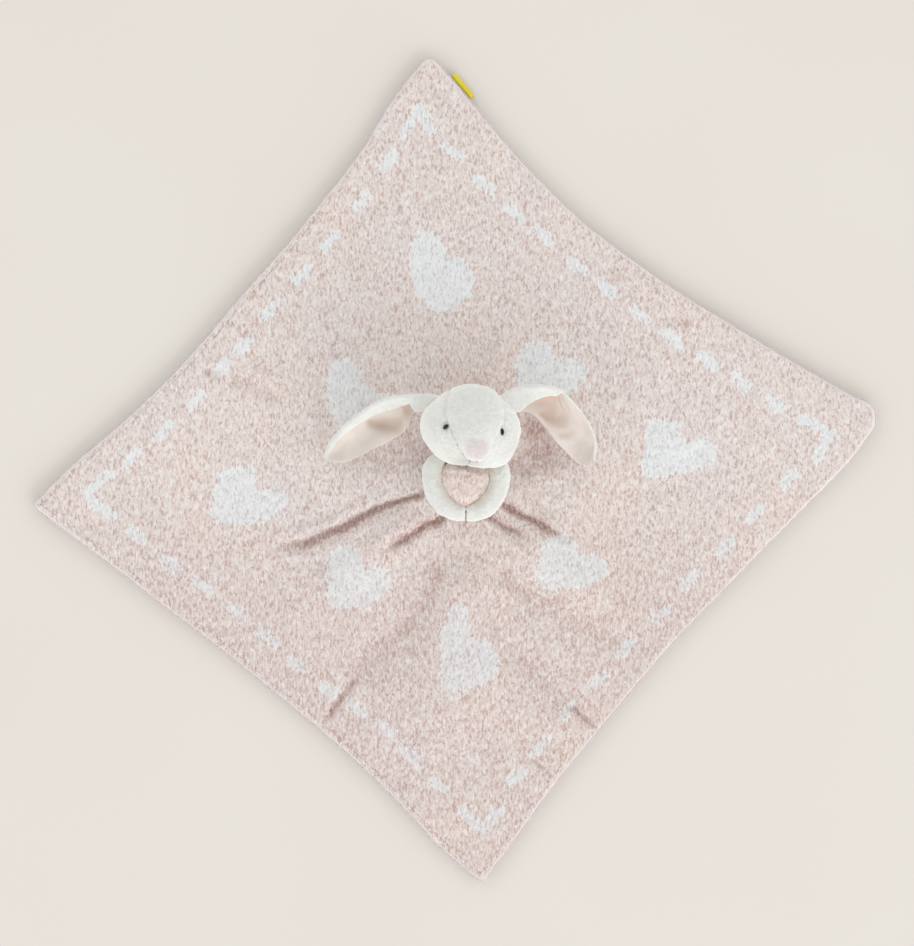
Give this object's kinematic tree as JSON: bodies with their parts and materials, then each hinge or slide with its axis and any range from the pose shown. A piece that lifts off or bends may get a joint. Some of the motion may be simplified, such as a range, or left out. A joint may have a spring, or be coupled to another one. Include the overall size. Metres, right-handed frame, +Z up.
{
  "type": "plush comforter blanket",
  "caption": "Square fleece comforter blanket with a stuffed bunny head, floppy lined ears and hugging arms that hold a small stuffed heart.",
  "frame": {"origin": "on the surface that the blanket lies on, below the middle of the outline's box", "axes": "+Z up, out of the bunny's face; +Y from the chin to the crown of the head; +X to the right of someone who looks down on the face"},
  "size_m": [0.5582, 0.5468, 0.0707],
  "materials": {
    "fleece_pink": "curly pale pink fleece with a white pattern",
    "fleece_white": "curly off-white fleece",
    "plush": "short white plush",
    "satin": "smooth pale peach satin",
    "nose_pink": "short pale pink plush",
    "eye": "dark brown, rounded",
    "thread": "pale sewing thread",
    "filling": "white polyester wadding",
    "label": "bare yellow woven tape"
  },
  "bodies": {
    "blanket": {"blanket_back": "fleece_white", "blanket_front": "fleece_pink", "edge_thread": "thread", "neck_base_thread": "thread"},
    "label": {"edge_label": "label"},
    "neck": {"neck_stump": "plush"},
    "head": {"head_gusset": "plush", "head_left_side": "plush", "head_right_side": "plush", "head_filling": "filling", "left_eye": "eye", "right_eye": "eye", "nose_patch": "nose_pink", "mouth_stitch": "thread"},
    "left_ear": {"left_ear_back": "plush", "left_ear_lining": "satin", "left_ear_tack": "thread"},
    "right_ear": {"right_ear_back": "plush", "right_ear_lining": "satin", "right_ear_tack": "thread"},
    "arms": {"left_arm_cover": "plush", "left_arm_filling": "filling", "right_arm_cover": "plush", "right_arm_filling": "filling", "paw_tack_thread": "thread", "heart_front": "fleece_pink", "heart_back": "fleece_pink", "heart_filling": "filling"}
  },
  "joints": [
    {"name": "head_turn", "type": "hinge", "parent": "blanket", "child": "neck", "pos_m": [0.00818, 0.00814, 0.0162], "axis": [0, 0, 1], "range_deg": [-12, 12]},
    {"name": "head_lift", "type": "hinge", "parent": "neck", "child": "head", "pos_m": [0.00818, 0.00814, 0.0162], "axis": [1, 0, 0], "range_deg": [0, 12]},
    {"name": "left_ear_lift", "type": "hinge", "parent": "head", "child": "left_ear", "pos_m": [-0.01586, 0.04457, 0.0409], "axis": [-0.1955, 0.9776, 0.0782], "range_deg": [0, 60]},
    {"name": "right_ear_lift", "type": "hinge", "parent": "head", "child": "right_ear", "pos_m": [0.03612, 0.04469, 0.04032], "axis": [-0.1959, -0.9794, 0.049], "range_deg": [0, 60]},
    {"name": "arms_lift", "type": "hinge", "parent": "blanket", "child": "arms", "pos_m": [0.00818, 0.00814, 0.0142], "axis": [-1, 0, 0], "range_deg": [0, 10]},
    {"name": "label_flap", "type": "hinge", "parent": "blanket", "child": "label", "pos_m": [0.00395, 0.25309, 0.00315], "axis": [0.6468, -0.7627, 0], "range_deg": [0, 90]}
  ]
}
